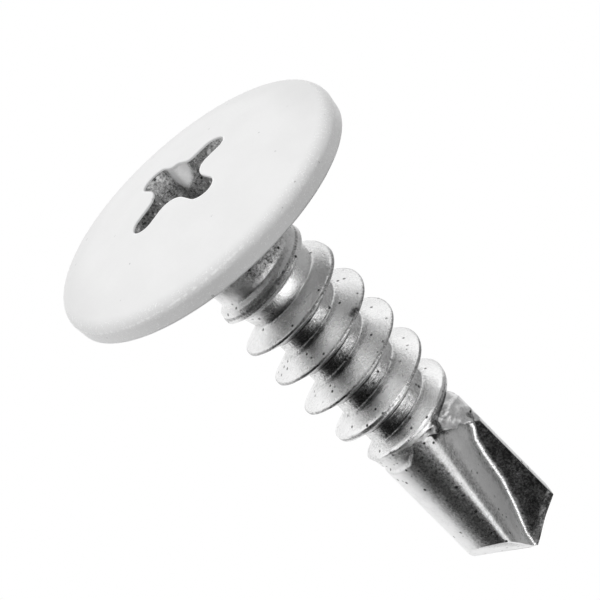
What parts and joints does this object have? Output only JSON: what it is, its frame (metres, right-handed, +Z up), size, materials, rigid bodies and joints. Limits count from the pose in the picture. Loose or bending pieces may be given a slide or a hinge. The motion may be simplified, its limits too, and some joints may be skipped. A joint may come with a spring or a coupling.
{
  "type": "self drilling screw",
  "caption": "Self drilling screw with a low domed white wafer head, a cross recess, a coarse tapping thread and a fluted drill point.",
  "frame": {"origin": "middle of the bounding box's footprint on the floor, with the screw lying as it rests on its head's rim and on two corners of its drill point", "axes": "+X runs along the screw's length from the head towards the drill point, in the vertical plane of its axis, and +Z is up. The screw's own axis dips 16.07 degrees below +X"},
  "size_m": [0.0174, 0.0108, 0.0105],
  "materials": {
    "zinc_plated_steel": "satin",
    "white_paint": "satin"
  },
  "bodies": {
    "root": {"screw": "zinc_plated_steel"}
  },
  "joints": []
}
